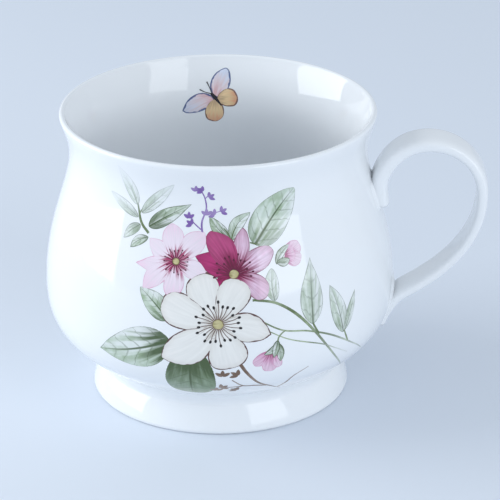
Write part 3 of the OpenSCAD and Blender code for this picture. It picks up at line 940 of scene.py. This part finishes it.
# --- Lavender and twig --------------------------------------------------------------------------
# A fine lavender sprig above the flowers and a brown twig below them, each with small florets.
SPRIG_WALL = 45.0                       # about the wall's radius behind the sprigs


def florets(places, size, layer=1.0):
    """Three small pointed dabs at each place, spread to both sides of a direction that sways from
    one place to the next."""
    dabs = []
    for k, (azimuth, up) in enumerate(places):
        for lobe in (-0.95, 0.0, 0.95):
            turn = 1.57 + 1.1 * np.sin(2.1 * k) + lobe
            tip = (azimuth + np.degrees(size * np.cos(turn) / SPRIG_WALL), up + size * np.sin(turn))
            dabs.append(patch((azimuth, up), tip, size * 0.52, (0.5, 0.7), 0, 0.03, 0.4, 0, layer,
                              k + lobe, sides=20, rings=3))
    return dabs


lavender = [
    stroke([(-93, 61.8), (-93.3, 65.3), (-91.7, 69), (-92.1, 72.2), (-93.4, 74.6)],
           [0.55, 0.5, 0.4, 0.3], 0.3, 0, 0, 71),
    stroke([(-93.1, 63), (-95, 64.2), (-97, 65.6)], [0.4, 0.35, 0.3], 0.3, 0, 0, 72),
    stroke([(-91.9, 67.4), (-90, 67.7), (-86.6, 68.5)], [0.35, 0.3, 0.25], 0.3, 0, 0, 73),
    stroke([(-92.2, 72), (-91.2, 72.8), (-90.3, 73.1)], [0.3, 0.3], 0.3, 0, 0, 74),
] + florets([(-95.2, 74.4), (-92.9, 74.4), (-90.6, 72.5), (-91.6, 67.4), (-88.7, 67.4),
             (-86.2, 68.2), (-98.0, 66.3), (-97.0, 64.5)], 1.85)
enamel("lavender", lavender, line_enamel("lavender_violet", (0.22, 0.12, 0.40), (0.46, 0.36, 0.62)))
twig = [
    stroke([(-80.9, 24.8), (-78, 20.7), (-74, 16.3), (-68.7, 12.8), (-63.3, 8.6)],
           [1.1, 0.9, 0.75, 0.5, 0.3], 0.4, 0.2, 0, 81),
    stroke([(-70.4, 13.9), (-75, 14.8), (-79.3, 15.3), (-83.3, 18.6)], [0.6, 0.5, 0.4, 0.3],
           0.5, 0, 0, 82),
    stroke([(-78.6, 15.2), (-84, 14.6), (-88, 14.4)], [0.4, 0.35, 0.25], 0.3, 0.3, 0, 83),
    stroke([(-79.4, 15.3), (-82, 13.6), (-84.5, 12.2)], [0.35, 0.3, 0.25], 0.3, 0.3, 0, 84),
    stroke([(-65.2, 10.6), (-63.4, 13.4), (-61.3, 17.2), (-56.7, 20)], [0.5, 0.5, 0.4, 0.25],
           0.0, 0.4, 0, 85),
] + florets([(-86.4, 20.4), (-81.4, 20.6), (-87, 14.4), (-88.5, 12.3), (-81.2, 12.1)], 2.3)
enamel("twig", twig, line_enamel("twig_brown", (0.17, 0.105, 0.07), (0.45, 0.36, 0.30)))

# --- Butterfly ----------------------------------------------------------------------------------
# A small butterfly on the inside of the lip, across from the spray's side, in the same enamels: lilac
# front wings edged in blue, gold hind wings edged in brown, and a black body.
inner_wall = inside[-len(wall):]
INNER_FACE = (inner_wall, run_along(inner_wall), left_of(inner_wall), -1)
front_wings = [
    patch((94.3, 66.5), (88.9, 75.4), 5.8, (0.62, 0.72), 0.03, 0.02, 0, 0, 1, 91, face=INNER_FACE),
    patch((94.7, 66.4), (108.8, 62.6), 5.8, (0.62, 0.76), -0.04, 0.02, 0, 0, 1, 92, face=INNER_FACE),
]
enamel("front_wings", front_wings,
       petal_enamel("wing_lilac", (0.82, 0.50, 0.52), (0.86, 0.75, 0.80), (0.70, 0.76, 0.90),
                    (0.06, 0.10, 0.25), heart_end=0.5, tip_start=0.35, line=0.46,
                    line_strength=0.92, streaks=6.0, contrast=0.18))
hind_wings = [
    patch((93.6, 66.1), (84.3, 66.5), 5.8, (0.60, 0.42), 0.02, 0.02, 0, 0, 2, 93, face=INNER_FACE),
    patch((94.0, 66.2), (95.0, 58.6), 5.8, (0.60, 0.42), 0.0, 0.02, 0, 0, 2, 94, face=INNER_FACE),
]
enamel("hind_wings", hind_wings,
       petal_enamel("wing_gold", (0.60, 0.42, 0.26), (0.90, 0.66, 0.38), (0.80, 0.40, 0.24),
                    (0.15, 0.07, 0.07), heart_end=0.5, tip_start=0.5, tip_end=1.0, line=0.32,
                    line_strength=0.92, contrast=0.18))
insect = [
    stroke([(96.0, 67.9), (94.4, 66.6), (92.6, 65.0), (91.5, 64.0)], [0.8, 1.3, 0.9, 0.4], 1, 0, 3, 95,
           face=INNER_FACE),
    stroke([(95.6, 67.8), (96.6, 69.6), (97.7, 71.3)], [0.3, 0.22, 0.4], 1, 0, 3, 96, face=INNER_FACE),
    stroke([(95.9, 67.7), (98.4, 68.2), (100.9, 69.1)], [0.3, 0.22, 0.4], 1, 0, 3, 97, face=INNER_FACE),
]
insect_piece = enamel("butterfly_body", insect,
                      line_enamel("insect_black", (0.025, 0.022, 0.03), (0.06, 0.05, 0.06)))
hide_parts("butterfly_transfer")
